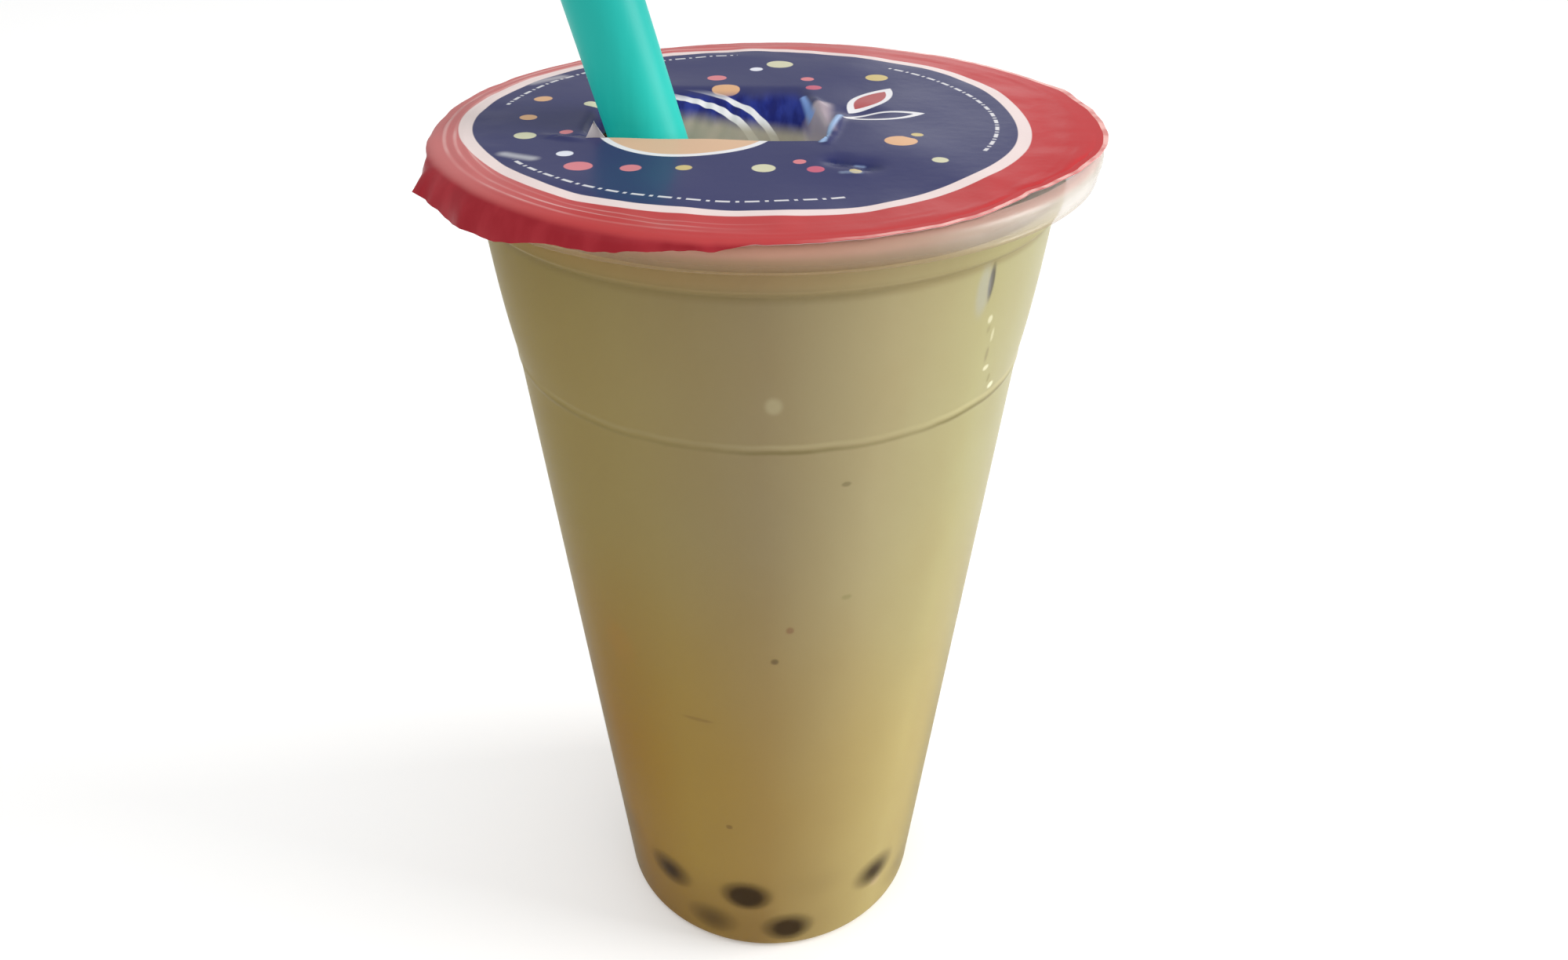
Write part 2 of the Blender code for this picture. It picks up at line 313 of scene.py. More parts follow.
def footSection(inset, corner, steps):
    # The base panel, the step down to the foot ring and the rounding up to the taper, moved in by inset
    lean = math.atan(cup["taper"])
    middle = inset + corner
    rounding = arcPoints(wallRadius(middle) - inset - corner / math.cos(lean), middle, corner,
                         -90, -math.degrees(lean), steps)
    share = np.linspace(0, 1, 7)
    reach = cup["panelRadius"] + (cup["footInner"] - cup["panelRadius"]) * share - inset / 2
    step = np.stack([reach, cup["panelRise"] * (1 - smoothStep(share)) + inset], axis=1)
    return np.concatenate([[(0, cup["panelRise"] + inset)], step, rounding])


def ringSection(inset):
    # The moulded ring: a bell (1 + cos) / 2 on the taper, moved in by inset
    share = np.linspace(-1, 1, 21)
    height = cupHeight - cup["ringDrop"] + share * cup["ringHalf"]
    lift = cup["ringProud"] * (1 + np.cos(np.pi * share)) / 2
    return np.stack([wallRadius(height) + lift - inset, height], axis=1)


def upperWall(inset):
    # The wall's bulge between the moulded ring and the stacking step, moved in by inset
    height = np.linspace(cupHeight - cup["ringDrop"] + cup["ringHalf"], cupHeight - cup["neckDrop"], 20)[1:-1]
    return np.stack([wallRadius(height) - inset, height], axis=1)


def stackingStep(inset):
    # Half a wave from the taper out to the neck, moved in by inset
    foot = cupHeight - cup["neckDrop"]
    rise = np.linspace(0, 1, 13)
    start = wallRadius(foot)
    radius = start + (cup["neckRadius"] - start) * smoothStep(rise)
    return np.stack([radius - inset, foot + cup["stepHeight"] * rise], axis=1)


def cutLong(section, longest):
    # Straight runs longer than longest are cut into equal shorter ones
    runs = []
    for start, end in zip(section[:-1], section[1:]):
        steps = max(1, int(np.linalg.norm(end - start) / longest))
        t = (np.arange(steps) / steps)[:, None]
        runs.append(start + t * (end - start))
    return np.concatenate(runs + [section[-1:]])


def makeCup(clear, hazy):
    wall, rimWall = cup["wall"], cup["rimWall"]
    flange = cupHeight - cup["flangeDrop"]
    lipFoot = cupHeight - cup["lipDrop"]
    lipInner = rimRadius - rimWall - cup["lipTuck"]
    section = np.concatenate([np.array(run) for run in (
        footSection(0, cup["baseCorner"], 10),
        ringSection(0),
        upperWall(0),
        stackingStep(0),
        arcPoints(cup["neckRadius"] + rimWall, flange - rimWall, rimWall, 180, 90, 5),
        arcPoints(lipInner - rimWall, flange - rimWall, rimWall, 90, 0, 5),
        [(lipInner, lipFoot)],
        arcPoints(rimRadius - cup["lipTuck"] - rimWall / 2, lipFoot, rimWall / 2, -150, -10, 6),
        arcPoints(rimRadius - cup["rimRound"], cupHeight - cup["rimRound"], cup["rimRound"], -10, 90, 12),
        arcPoints(cup["neckRadius"], cupHeight - wall, wall, 90, 180, 5),
        stackingStep(wall)[::-1],
        upperWall(wall)[::-1],
        ringSection(wall)[::-1],
        footSection(wall, cup["innerCorner"], 8)[::-1],
    )])
    section = cutLong(section, 2.5 * mm)
    points = revolve(section, cup["sides"])
    faces = gridFaces(len(section), cup["sides"])
    beyond = section[:, 0] > cup["neckRadius"] + wall / 2
    rim = beyond[:-1] & beyond[1:]
    return putMesh("clearCup", points.reshape(-1, 3), faces, (clear, hazy),
                   faceMaterials=np.repeat(rim, cup["sides"]))


def cupPlastic():
    # Thin clear plastic: most of what meets it goes straight through, the rest as through rough glass
    material, tree, shader = newMaterial("cupPlastic")
    ridgeGlints = (1, 1, 0.35)
    roughness = between(tree, objectNoise(tree, ridgeGlints, 60.0), 0.3, 0.7, 0.09, 0.16)
    setShader(tree, shader, Base_Color=cup["clearTone"], Transmission_Weight=1.0, IOR=1.14, Alpha=0.22,
              Roughness=roughness)
    addBump(tree, shader, objectNoise(tree, ridgeGlints, 45.0, 2.0), 0.0002, 0.35)
    return material


def rimPlastic():
    # The rim's thicker milky plastic, with painted shade away from the key light and painted light towards
    # it, a painted reflection of the film's red near the film, and darker at its foot
    material, tree, shader = newMaterial("rimPlastic")
    level = axes(tree, objectPlace(tree))["Z"]
    lipFoot = cupHeight - cup["lipDrop"]
    cloud = objectNoise(tree, (1, 1, 2), 120.0)
    lower = between(tree, level, cupHeight - 1.4 * mm, cupHeight - 2.8 * mm)
    # Painted shade on the side away from the key light
    shaded = mixColour(tree, lower, cup["shadedUpper"], cup["shadedLower"])
    # Painted light on the side towards the key light
    pale = mixColour(tree, cloud, cup["pale"], cup["palest"])
    # Painted reflection of the film's red just below the film
    filmRedReflection = between(tree, level, cupHeight - 1.0 * mm, cupHeight - 0.2 * mm, 0.0, 0.6)
    pale = mixColour(tree, filmRedReflection, pale, cup["filmRedReflection"])
    body = mixColour(tree, between(tree, towardsKey(tree), 0.5, 0.95), shaded, pale)
    foot = between(tree, level, lipFoot + 0.9 * mm, lipFoot, 0.0, 0.75)
    clear = between(tree, level, lipFoot + 0.5 * mm, cupHeight - 0.5 * mm, 0.36, 0.66)
    setShader(tree, shader, Base_Color=mixColour(tree, foot, body, cup["footTone"]), Alpha=clear,
              Transmission_Weight=0.3, IOR=1.4, Roughness=0.33)
    addBump(tree, shader, cloud, 0.0002, 0.5)
    return material


# Pearls: dark tapioca balls lying at the bottom, some against the wall where they show

pearls = {
    "radius": 4.9 * mm,
    # Balls that meet the wall: degrees round the cup, height above the table, reach past the tea's face
    "atWall": (
        (-127.6, 16.9, 0.16), (-97.6, 16.6, 0.75), (-111.3, 7.2, -0.45), (-82.6, 6.6, 0.55),
        (-47.8, 14.8, 0.15), (-3.0, 7.6, 0.2), (12.0, 15.0, 0.2), (31.0, 6.8, 0.2), (62.0, 12.0, 0.1),
        (88.0, 7.0, 0.3), (118.0, 15.5, 0.2), (146.0, 7.2, 0.1), (168.0, 14.5, 0.3), (-178.0, 7.0, 0.0),
        (24.0, 24.0, 0.1), (132.0, 27.0, 0.0),
    ),
    "inside": 26,               # more balls are tried for, lying free inside
    "tones": ((0.020, 0.010, 0.002, 1), (0.055, 0.027, 0.006, 1)),
    "seed": 11,
}


def pearlCentres():
    centres = []
    for degrees, height, touch in pearls["atWall"]:
        turn, height = math.radians(degrees), max(height * mm, cup["wall"] + pearls["radius"])
        reach = wallRadius(height) - cup["wall"] / 2 + touch * mm - pearls["radius"]
        centres.append((reach * math.cos(turn), reach * math.sin(turn), height))
    draw = np.random.default_rng(pearls["seed"])
    floor = cup["panelRise"] + cup["wall"] + pearls["radius"]
    tries = 0
    while len(centres) < len(pearls["atWall"]) + pearls["inside"] and tries < 4000:
        tries += 1
        height = floor + 14 * mm * draw.random() ** 2
        reach = (wallRadius(height) - 6.5 * mm) * math.sqrt(draw.random())
        turn = draw.uniform(0, 2 * math.pi)
        spot = np.array([reach * math.cos(turn), reach * math.sin(turn), height])
        if np.linalg.norm(np.array(centres) - spot, axis=1).min() > 2.02 * pearls["radius"]:
            centres.append(tuple(spot))
    return np.array(centres)


def makePearls(material, centres):
    # Each ball is a sphere made uneven by slow waves over its directions; all lie clear of the tea's face
    reach = np.hypot(centres[:, 0], centres[:, 1])
    sunk = np.minimum(1, (wallRadius(centres[:, 2]) - 0.6 * cup["wall"] - pearls["radius"]) / reach)
    centres = centres * np.stack([sunk, sunk, np.ones(len(sunk))], axis=1)
    rings, sides = 17, 28
    draw = np.random.default_rng(pearls["seed"] + 1)
    up = np.linspace(-np.pi / 2, np.pi / 2, rings)[:, None]
    turn = 2 * np.pi * np.arange(sides) / sides
    ball = np.stack([np.cos(up) * np.cos(turn), np.cos(up) * np.sin(turn), np.sin(up) + 0 * turn], axis=-1)
    ball = ball.reshape(-1, 3)
    faces = gridFaces(rings, sides)
    allPoints, allFaces = [], []
    for number, centre in enumerate(centres):
        phase = draw.uniform(0, 2 * np.pi, 3)
        uneven = 1 + 0.012 * np.sin(3 * ball[:, 0] + phase[0]) + 0.012 * np.sin(4 * ball[:, 1] + phase[1])
        uneven -= 0.018 + 0.010 * np.sin(3 * ball[:, 2] + phase[2])
        allPoints.append(centre + ball * (pearls["radius"] * uneven)[:, None])
        allFaces.append(faces + number * len(ball))
    return putMesh("tapiocaPearls", np.concatenate(allPoints), np.concatenate(allFaces), material)


def pearlSkin():
    material, tree, shader = newMaterial("pearlSkin")
    tone = mixColour(tree, objectNoise(tree, (1, 1, 1), 220.0, 2.0), *pearls["tones"])
    setShader(tree, shader, Base_Color=tone, Roughness=0.5, Specular_IOR_Level=0.1)
    return material


# Tea

tea = {
    "intoWall": 0.75,           # share of the wall's thickness that the tea reaches into
    "meniscus": 0.7 * mm,       # how far the tea climbs the wall
    "meniscusWidth": 1.6 * mm,
    "seeDepth": 1.6 * mm,       # tea this thick hides most of a dark ball behind it
    "lowRows": 0.55 * mm,       # height of a row of faces where the balls lie, and above
    "highRows": 1.3 * mm,
    "ballsReach": 34 * mm,
    "sides": 288,
    # Painted light and shade: tones from the side away from the key light to the side that faces it, above
    # and below
    "tones": (
        (0.12, (0.275, 0.206, 0.060), (0.268, 0.140, 0.014)),
        (0.32, (0.298, 0.232, 0.094), (0.330, 0.210, 0.044)),
        (0.53, (0.291, 0.229, 0.122), (0.338, 0.222, 0.068)),
        (0.72, (0.382, 0.324, 0.174), (0.382, 0.282, 0.106)),
        (0.88, (0.386, 0.354, 0.180), (0.432, 0.344, 0.136)),
        (0.98, (0.370, 0.348, 0.208), (0.372, 0.290, 0.106)),
    ),
    # Heights between which it turns from the tones above to those below, and between which painted shade
    # darkens its foot on the side away from the key light
    "turnLevels": (107 * mm, 40 * mm),
    "footLevels": (26 * mm, 6 * mm),
    "footTone": (0.20, 0.11, 0.03, 1),
    "mottleTone": (0.28, 0.19, 0.07, 1),
    # The moulded ring's painted highlight line and painted shade line: middle and half width in shares of
    # ringHalf, tone, strength
    "ringLines": ((0.60, 0.60, (0.55, 0.48, 0.27, 1), 0.28), (-0.35, 0.70, (0.14, 0.11, 0.03, 1), 0.55)),
    # Painted shade and light on the neck band, and painted shade along the stacking step's foot
    "neckShaded": (0.42, 0.24, 0.09, 1),
    "neckLit": (0.30, 0.25, 0.11, 1),
    "stepTone": (0.18, 0.13, 0.05, 1),
    "edgeTone": (0.10, 0.085, 0.020, 1),
    "pearlTone": (0.030, 0.014, 0.002, 1),
    # Bubbles, drops and specks on the tea's face; the palest, at -43.5 to -36.6 degrees, are painted glints
    # on drops, and the one at -46 degrees and 10.6 mm a painted highlight: degrees round the cup, height
    # above the table, half width, half height, tone, strength
    "marks": (
        (-88.3, 125.2, 1.3, 1.5, (0.52, 0.46, 0.28), 0.4), (-45.5, 137.7, 0.7, 3.2, (0.07, 0.06, 0.06), 0.85),
        (-47.4, 137.0, 1.6, 4.2, (0.37, 0.38, 0.37), 0.4), (-43.5, 132.0, 0.6, 0.7, (0.80, 0.78, 0.55), 0.5),
        (-41.5, 129.0, 0.4, 1.3, (0.76, 0.74, 0.50), 0.4), (-41.0, 123.8, 0.8, 0.5, (0.80, 0.78, 0.55), 0.6),
        (-36.6, 119.7, 0.9, 0.6, (0.82, 0.82, 0.58), 0.7), (-42.0, 126.0, 0.45, 1.6, (0.22, 0.19, 0.10), 0.5),
        (-38.6, 121.4, 0.5, 0.9, (0.24, 0.22, 0.09), 0.5), (-43.4, 130.4, 0.5, 0.7, (0.24, 0.21, 0.10), 0.4),
        (-73.3, 111.4, 0.8, 0.5, (0.16, 0.13, 0.06), 0.6), (-84.3, 84.8, 0.7, 0.8, (0.20, 0.09, 0.05), 0.6),
        (-87.9, 78.3, 0.7, 0.7, (0.12, 0.08, 0.04), 0.7), (-102.0, 36.6, 0.7, 0.7, (0.14, 0.08, 0.03), 0.6),
        (-71.1, 90.2, 0.9, 0.6, (0.22, 0.20, 0.08), 0.5), (-108.9, 63.3, 3.0, 0.5, (0.20, 0.12, 0.04), 0.5),
        (-132.3, 73.8, 3.6, 5.0, (0.34, 0.18, 0.04), 0.3), (95.0, 118.0, 1.1, 1.2, (0.62, 0.54, 0.34), 0.6),
        (140.0, 88.0, 0.8, 0.7, (0.14, 0.09, 0.04), 0.6), (-46.0, 10.6, 1.5, 1.7, (0.50, 0.36, 0.22), 0.45),
        (50.0, 64.0, 2.4, 0.5, (0.20, 0.14, 0.05), 0.5),
    ),
}


def pearlShade(points, centres):
    # How dark a ball makes the tea's outer face: exp(-thickness / seeDepth), where thickness is the tea
    # between the face and the ball along the way in, worked out from the ball's sphere
    shade = np.zeros(len(points))
    inward = points.copy()
    inward[:, 2] = 0
    inward /= -np.maximum(np.linalg.norm(inward, axis=1), 1e-6)[:, None]
    for centre in centres:
        offset = centre - points
        depth = (offset * inward).sum(axis=1)
        across = (offset ** 2).sum(axis=1) - depth ** 2
        inside = pearls["radius"] ** 2 - across
        near = inside > 0
        thickness = depth[near] - np.sqrt(inside[near])
        rim = smoothStep(inside[near] / pearls["radius"] ** 2 * 3.0)
        shade[near] = np.maximum(shade[near], rim * np.exp(-np.maximum(thickness, 0) / tea["seeDepth"]))
    return shade


def makeTea(material, centres):
    # Turned along the middle of the cup's wall, then in over the surface, which climbs the wall
    # by meniscus exp(-distance / meniscusWidth)
    inset = cup["wall"] * (1 - tea["intoWall"])
    foot = footSection(inset, cup["innerCorner"], 10)
    low = np.arange(foot[-1, 1], tea["ballsReach"], tea["lowRows"])[1:]
    low = np.stack([wallRadius(low) - inset, low], axis=1)
    edge = cup["neckRadius"] - inset
    across = edge * np.linspace(1, 0, 60)
    climb = tea["meniscus"] * np.exp(-(edge - across) / tea["meniscusWidth"])
    top = np.stack([across, teaLevel + climb], axis=1)
    section = np.concatenate([foot, low, ringSection(inset), upperWall(inset), stackingStep(inset), top])
    section = cutLong(section, tea["highRows"])
    points = revolve(section, tea["sides"])
    x, y, height = points[..., 0], points[..., 1], points[..., 2]
    free = smoothStep((edge - 1 * mm - np.hypot(x, y)) / (2 * mm)) * (height > teaLevel - 0.1 * mm)
    points[..., 2] += waves(x, y, 5, 8, 14 * mm, 3 * mm) * 0.08 * mm * free
    points = points.reshape(-1, 3)
    faces = gridFaces(len(section), tea["sides"])
    return putMesh("milkTea", points, faces, material, 60, ("pearlShade", pearlShade(points, centres)))


def teaMark(tree, place, ground, mark):
    # A soft spot: an ellipsoid about a point of the wall, full within half its size
    degrees, height, width, tall, tone, strength = mark
    turn, reach = math.radians(degrees), wallRadius(height * mm)
    centre = (reach * math.cos(turn), reach * math.sin(turn), height * mm)
    offset = vectorMaths(tree, "SUBTRACT", place, centre)
    scaled = vectorMaths(tree, "MULTIPLY", offset, (1000 / width, 1000 / width, 1000 / tall))
    away = vectorMaths(tree, "LENGTH", scaled)
    return mixColour(tree, between(tree, away, 1.2, 0.5, 0.0, strength), ground, (*tone, 1))


def teaColour():
    # Greenish beige above and golden below, painted paler towards the key light, with faint clouds, marks and
    # the dark of the balls behind; the moulded ring's shading is painted as a light line over a dark one
    material, tree, shader = newMaterial("teaColour")
    place = objectPlace(tree)
    level = axes(tree, place)["Z"]
    cloud = maths(tree, "SUBTRACT", objectNoise(tree, (1, 1, 0.6), 24.0, 2.0), 0.5)
    low = between(tree, maths(tree, "MULTIPLY_ADD", cloud, 0.05, level), *tea["turnLevels"])
    # Painted light and shade: which way the wall faces the key light, made uneven by the clouds
    facing = maths(tree, "MULTIPLY_ADD", cloud, 0.10, towardsKey(tree))
    above, below = (toneRamp(tree, facing, [(stop[0], stop[which]) for stop in tea["tones"]])
                    for which in (1, 2))
    body = mixColour(tree, low, above, below)
    # Painted shade at the foot, on the side away from the key light
    foot = product(tree, between(tree, level, *tea["footLevels"], 0.0, 0.5),
                   between(tree, facing, 0.62, 0.50))
    body = mixColour(tree, foot, body, tea["footTone"])
    mottle = between(tree, objectNoise(tree, (1, 1, 0.5), 90.0, 4.0, 0.6), 0.35, 0.75, 0.0, 0.14)
    body = mixColour(tree, mottle, body, tea["mottleTone"])

    # Painted highlight above the moulded ring and painted shade below it, patchy and stronger towards the key
    # light
    sway = maths(tree, "MULTIPLY_ADD", objectNoise(tree, (1, 1, 0), 160.0), 0.7 * mm, level)
    ring = maths(tree, "SUBTRACT", sway, cupHeight - cup["ringDrop"] + 0.35 * mm)
    ring = maths(tree, "DIVIDE", ring, cup["ringHalf"])
    patchyTowardsKey = product(tree, between(tree, objectNoise(tree, (1, 1, 0), 45.0), 0.35, 0.6, 0.5, 1.0),
                   between(tree, facing, 0.15, 0.85, 0.75, 1.2))
    for middle, half, tone, strength in tea["ringLines"]:
        line = between(tree, apart(tree, ring, middle), half, 0.0, 0.0, strength)
        body = mixColour(tree, product(tree, line, patchyTowardsKey), body, tone)

    # Painted shade and light on the band above the stacking step, and a painted shade line along the step's
    # foot
    above = maths(tree, "SUBTRACT", level, cupHeight - cup["neckDrop"])
    neck = mixColour(tree, between(tree, facing, 0.5, 0.85), tea["neckShaded"], tea["neckLit"])
    body = mixColour(tree, between(tree, above, 0.0, 2.4 * mm, 0.0, 0.30), body, neck)
    line = between(tree, apart(tree, above, 0.3 * mm), 1.6 * mm, 0.1 * mm, 0.0, 0.48)
    body = mixColour(tree, line, body, tea["stepTone"])

    # Painted shade at the grazing edge of the lower tea
    grazing = addNode(tree, "ShaderNodeLayerWeight", {"Blend": 0.5}).outputs["Facing"]
    edge = product(tree, between(tree, grazing, 0.74, 0.96, 0.0, 0.5), low)
    body = mixColour(tree, edge, body, tea["edgeTone"])
    for mark in tea["marks"]:
        body = teaMark(tree, place, body, mark)
    shade = addNode(tree, "ShaderNodeAttribute", attribute_name="pearlShade").outputs["Fac"]
    body = mixColour(tree, product(tree, shade, 0.97), body, tea["pearlTone"])
    setShader(tree, shader, Base_Color=body, Roughness=0.5, Specular_IOR_Level=0.04)
    return material


# Straw

straw = {
    "radius": 5.5 * mm,
    "wall": 0.5 * mm,
    "length": 210 * mm,
    "footHeight": 16 * mm,
    "atRim": (-17.9 * mm, -1.5 * mm),
    "lean": (-0.279, 0.050),    # sideways travel for each unit of height
    "sides": 128,
    "teal": (0.016, 0.40, 0.335, 1),
    "tealStreak": (0.024, 0.46, 0.395, 1),
    "tealDeep": (0.014, 0.315, 0.275, 1),
    "paintedGlow": (0.01, 0.90, 0.77, 1),
}


def strawFrame():
    # Foot of the straw and its three axes, the last along the straw
    along = np.array([straw["lean"][0], straw["lean"][1], 1.0])
    foot = np.array([*straw["atRim"], cupHeight]) - along * (cupHeight - straw["footHeight"])
    along /= np.linalg.norm(along)
    across = np.cross([0, 1, 0], along)
    across /= np.linalg.norm(across)
    return foot, across, np.cross(along, across), along


def makeStraw(material):
    # A tube along the straw's axis: foot + along t + radius (across cos + side sin), with rounded lips
    half = straw["wall"] / 2
    middle = straw["radius"] - half
    lengths = np.linspace(half, straw["length"] - half, 60)
    outer = np.stack([np.full(60, straw["radius"]), lengths], axis=1)
    inner = np.stack([np.full(60, straw["radius"] - straw["wall"]), lengths[::-1]], axis=1)
    topLip = arcPoints(middle, straw["length"] - half, half, 0, 180, 6)[1:-1]
    footLip = arcPoints(middle, half, half, 180, 360, 6)[1:-1]
    section = np.concatenate([outer, topLip, inner, footLip])
    local = revolve(section, straw["sides"]).reshape(-1, 3)
    foot, across, side, along = strawFrame()
    points = foot + local @ np.stack([across, side, along])
    faces = gridFaces(len(section), straw["sides"], loopRows=True)
    return putMesh("wideStraw", points, faces, material, 50)


def strawPlastic():
    # Teal plastic with faint streaks along it, deeper away from the film;
    # its even glow is painted, standing in for the light that comes through the tube
    material, tree, shader = newMaterial("strawPlastic")
    streak = objectNoise(tree, (1, 1, 0.06), 700.0, 2.0)
    body = mixColour(tree, streak, straw["teal"], straw["tealStreak"])
    level = axes(tree, objectPlace(tree))["Z"]
    higher = between(tree, level, cupHeight + 3 * mm, cupHeight + 20 * mm)
    setShader(tree, shader, Base_Color=mixColour(tree, higher, body, straw["tealDeep"]), Roughness=0.42,
              Specular_IOR_Level=0.20, Emission_Color=straw["paintedGlow"], Emission_Strength=0.18)
    addBump(tree, shader, streak, 0.00004, 0.4)
    return material


# Sealing film

film = {
    "thickness": 0.16 * mm,
    "gap": 0.08 * mm,           # above the rim
    "discRadius": 46.0 * mm,
    "shoulder": 48.4 * mm,
    "edgeMargin": 1.5 * mm,
    # Loose edge: degrees round the cup, radius and drop in mm
    "edge": (
        (-172, 47.2, 0.3), (-163, 47.8, 1.1), (-157, 49.2, 2.4), (-154.2, 51.5, 3.1), (-151.5, 50.2, 3.7),
        (-143, 49.5, 4.2), (-134, 49.1, 4.3), (-121, 48.9, 2.7), (-110, 48.6, 1.7), (-100, 48.2, 1.1),
        (-91, 47.7, 0.3), (-75, 47.5, 0.0), (-58, 46.7, 0.0), (-44, 44.9, 0.0), (-28, 46.2, 0.0),
        (-12, 47.9, 0.0), (14, 48.3, 0.0), (20, 49.0, 0.0), (26, 48.0, 0.0), (85, 47.6, 0.0),
        (105, 46.8, 0.0), (125, 46.3, 0.0), (155, 46.4, 0.0), (178, 46.8, 0.1),
    ),
    "spine": ((-17.0 * mm, -4.8 * mm), (7.8 * mm, -6.6 * mm)),
    # The slit's outline in plan, in mm, counter-clockwise
    "slit": (
        (-22.6, -9.7), (7.0, -10.9), (8.2, -9.6), (7.8, -6.0), (6.5, -2.2), (-12.0, -2.0), (-23.4, -7.0),
    ),
    "holeCentre": (-17.3 * mm, -1.6 * mm),
    "holeRadii": (6.7 * mm, 6.0 * mm),
    "flapDepth": 6.2 * mm,
    "flapFront": -2.0 * mm,
    "flapBack": 18.0 * mm,
    "creaseX": 8.3 * mm,
    "creaseSlant": -0.113,
    "creaseWidth": 2.4 * mm,
    "leftX": -27.0 * mm,
    "leftWidth": 7.0 * mm,
    "lipWidth": 5.0 * mm,
    "flapPower": 1.2,
    # Ridges that the sealing head pressed round the rim: radius and height in mm
    "ridges": ((42.9, 0.07), (44.3, 0.19), (45.5, 0.17)),
    "ridgeWidth": 0.38 * mm,
    # Dents beside the tear's right end: place, width and depth in mm
    "dents": (
        (9.6, -19.0, 1.8, 0.55), (12.8, -20.6, 1.9, 0.50), (11.3, -22.8, 1.2, -0.20), (13.2, 3.5, 3.0, 0.5),
    ),
    # Folds beside the tear: ends, width and height in mm
    "folds": (
        (10.4, 1.9, 8.0, -11.6, 0.7, 0.6), (6.0, 12.0, 8.6, 5.0, 0.8, 0.3),
        (-25.5, -10.5, -31.0, -8.0, 0.8, 0.3),
    ),
    # A torn tip that stands up left of the straw: ends of its foot, and its top
    "tornTip": ((-25.0, -9.7, 0.0), (-22.0, -10.1, 0.0), (-23.9, -9.0, 2.0)),
    "sideColumns": 110,
    "endColumns": 84,
    "discRows": 66,
    "skirtRows": 18,
    "hemRows": 7,
}


def filmColumns():
    # Columns leave the long sides of the tear's spine square to it and fan out round its ends
    start, end = np.array(film["spine"])
    along = (end - start) / np.linalg.norm(end - start)
    side = np.array([-along[1], along[0]])
    steps = (np.arange(film["sideColumns"]) / film["sideColumns"])[:, None]
    turns = (np.pi * np.arange(film["endColumns"]) / film["endColumns"])[:, None]
    fan = np.sin(turns) * along - np.cos(turns) * side
    same = np.ones_like(steps)
    origins = [start + steps * (end - start), np.ones_like(turns) * end,
               end + steps * (start - end), np.ones_like(turns) * start]
    return np.concatenate(origins), np.concatenate([-same * side, fan, same * side, -fan])


def tearReach(origins, directions):
    # Distance to the slit's polygon or, where it reaches further, to the ellipse round the straw
    corners = np.array(film["slit"]) * mm
    sides = np.roll(corners, -1, axis=0) - corners
    outward = np.stack([sides[:, 1], -sides[:, 0]], axis=1)
    reach = (outward * corners).sum(axis=1) - origins @ outward.T
    rate = directions @ outward.T
    distance = np.full(rate.shape, np.inf)
    np.divide(reach, rate, out=distance, where=rate > 0)
    slit = distance.min(axis=1)
    start = (origins - np.array(film["holeCentre"])) / film["holeRadii"]
    way = directions / np.array(film["holeRadii"])
    a, b, c = (way ** 2).sum(axis=1), (way * start).sum(axis=1), (start ** 2).sum(axis=1) - 1
    inside = b * b - a * c
    root = np.sqrt(np.maximum(inside, 0))
    enter = np.where(inside > 0, (-b - root) / a, np.inf)
    leave = np.where(inside > 0, (-b + root) / a, -np.inf)
    return np.where(enter < slit, np.maximum(slit, leave), slit)


def flapDrop(x, y):
    # Depth of the flap: a slope from its back line to the tear, cut off at the crease on its right,
    # fading left of the straw and rising again to the slit's front edge
    slope = np.clip((film["flapBack"] - y) / (film["flapBack"] - film["flapFront"]), 0, 1)
    slope = slope ** film["flapPower"]
    crease = film["creaseX"] + film["creaseSlant"] * y
    right = smoothStep((crease - x) / film["creaseWidth"])
    left = smoothStep((x - film["leftX"]) / film["leftWidth"])
    front = smoothStep((y - film["slit"][0][1] * mm) / film["lipWidth"])
    return film["flapDepth"] * slope * right * left * front


def filmRelief(x, y):
    # Low relief of the flat film: ridges, folds and dents as bells exp(-(distance / width)^2), and slow waves
    away = np.hypot(x, y)
    relief = np.zeros_like(x)
    for radius, height in film["ridges"]:
        fade = 0.65 + 0.35 * waves(x, y, int(radius * 10), 6, 30 * mm, 8 * mm)
        relief += height * mm * fade * np.exp(-((away - radius * mm) / film["ridgeWidth"]) ** 2)
    for startX, startY, endX, endY, width, height in film["folds"]:
        spanX, spanY = endX - startX, endY - startY
        t = ((x / mm - startX) * spanX + (y / mm - startY) * spanY) / (spanX ** 2 + spanY ** 2)
        t = np.clip(t, 0, 1)
        share = np.hypot(x / mm - startX - t * spanX, y / mm - startY - t * spanY) / width
        relief += height * mm * np.exp(-share ** 2) * np.sin(np.pi * (0.1 + 0.8 * t))
    for placeX, placeY, width, depth in film["dents"]:
        share = np.hypot(x - placeX * mm, y - placeY * mm) / (width * mm)
        relief -= depth * mm * np.exp(-share ** 2)
    sealed = smoothStep((away - 34 * mm) / (6 * mm)) * smoothStep((46.0 * mm - away) / (3 * mm))
    relief += waves(x, y, 31, 12, 16 * mm, 4 * mm) * 0.06 * mm * sealed
    relief += waves(x, y, 37, 8, 40 * mm, 12 * mm) * 0.12 * mm * smoothStep((44 * mm - away) / (8 * mm))
    pressed = smoothStep(flapDrop(x, y) / (1.5 * mm))
    return relief + waves(x * 1.8, y * 0.4, 41, 9, 12 * mm, 2.4 * mm) * 0.20 * mm * pressed


